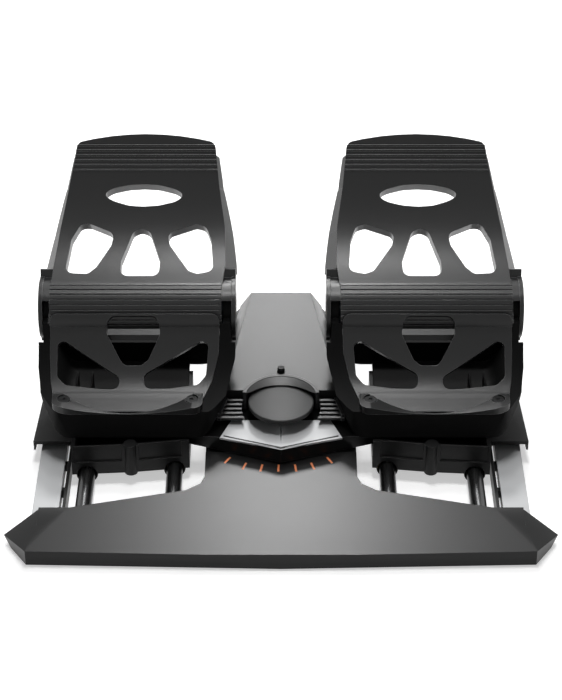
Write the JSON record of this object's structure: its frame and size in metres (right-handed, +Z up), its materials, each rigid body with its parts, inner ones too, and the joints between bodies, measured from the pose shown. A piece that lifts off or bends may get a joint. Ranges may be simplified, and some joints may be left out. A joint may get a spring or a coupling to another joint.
{
  "type": "flight simulator rudder pedals",
  "caption": "Floor unit with foot pedals that slide in opposite directions on steel rods, joined by a rocker, and sprung toe plates that tilt for the brakes.",
  "frame": {"origin": "Middle of the bounding box, on the floor under the rubber feet.", "axes": "+X to the pilot's right, -Y toward the pilot and +Y forward, +Z up."},
  "size_m": [0.43, 0.345, 0.2222],
  "materials": {
    "dark_shell": "fine grained black plastic",
    "satin_shell": "satin dark grey plastic",
    "gloss_shell": "glossy black plastic",
    "pedal_shell": "grained dark grey plastic",
    "bright_strip": "brushed aluminium",
    "rod_steel": "ground steel",
    "screw_steel": "black coated steel",
    "spring_steel": "spring steel",
    "chrome_trim": "polished trim",
    "bush_brass": "plain bronze bush",
    "foot_rubber": "soft rubber",
    "sensor_shell": "moulded sensor housing",
    "board": "circuit board"
  },
  "bodies": {
    "base": {"base_tub": "dark_shell", "front_bar": "satin_shell", "rear_bar": "dark_shell", "spine_cover": "satin_shell", "louvre_grille": "dark_shell", "tension_knob": "dark_shell", "side_rail_left": "dark_shell", "side_rail_right": "dark_shell", "trim_strip_left": "bright_strip", "trim_strip_right": "bright_strip", "wing_plate_left": "dark_shell", "wing_plate_right": "dark_shell", "guide_rods_left": "rod_steel", "guide_rods_right": "rod_steel", "rubber_feet": "foot_rubber", "base_screws": "screw_steel", "hub_post": "rod_steel", "centring_spring": "spring_steel", "yaw_sensor": "sensor_shell", "controller_board": "board", "cable_gland": "foot_rubber"},
    "rocker": {"rocker_arm": "gloss_shell", "rocker_insert": "bright_strip", "rocker_pointer": "chrome_trim", "hub_cap": "gloss_shell", "drive_pins": "rod_steel"},
    "foot_left": {"carriage_left": "dark_shell", "rod_bushes_left": "bush_brass", "cradle_left": "pedal_shell", "hinge_shaft_left": "rod_steel", "heel_rest_left": "pedal_shell", "heel_screws_left": "screw_steel", "toe_spring_left": "spring_steel", "brake_sensor_left": "sensor_shell"},
    "toe_left": {"toe_pedal_left": "pedal_shell", "pivot_bushes_left": "bush_brass"},
    "foot_right": {"carriage_right": "dark_shell", "rod_bushes_right": "bush_brass", "cradle_right": "pedal_shell", "hinge_shaft_right": "rod_steel", "heel_rest_right": "pedal_shell", "heel_screws_right": "screw_steel", "toe_spring_right": "spring_steel", "brake_sensor_right": "sensor_shell"},
    "toe_right": {"toe_pedal_right": "pedal_shell", "pivot_bushes_right": "bush_brass"}
  },
  "joints": [
    {"name": "left_foot_slide", "type": "slide", "parent": "base", "child": "foot_left", "axis": [0, 1, 0], "range_m": [-0.028, 0.028], "stiffness_N_per_m": 500},
    {"name": "right_foot_slide", "type": "slide", "parent": "base", "child": "foot_right", "axis": [0, 1, 0], "range_m": [-0.028, 0.028]},
    {"name": "rocker_turn", "type": "hinge", "parent": "base", "child": "rocker", "pos_m": [0, -0.0285, 0.03], "axis": [0, 0, 1], "range_deg": [-20.5, 20.5]},
    {"name": "left_toe_tilt", "type": "hinge", "parent": "foot_left", "child": "toe_left", "pos_m": [-0.117, 0.0289, 0.1084], "axis": [1, 0, 0], "range_deg": [-16, 0], "stiffness_Nm_per_rad": 2.5},
    {"name": "right_toe_tilt", "type": "hinge", "parent": "foot_right", "child": "toe_right", "pos_m": [0.117, 0.0289, 0.1084], "axis": [1, 0, 0], "range_deg": [-16, 0], "stiffness_Nm_per_rad": 2.5}
  ],
  "couplings": [
    {"joint": "right_foot_slide", "follows": "left_foot_slide", "ratio": -1},
    {"joint": "rocker_turn", "follows": "left_foot_slide", "rad_per_m": -12.375}
  ]
}
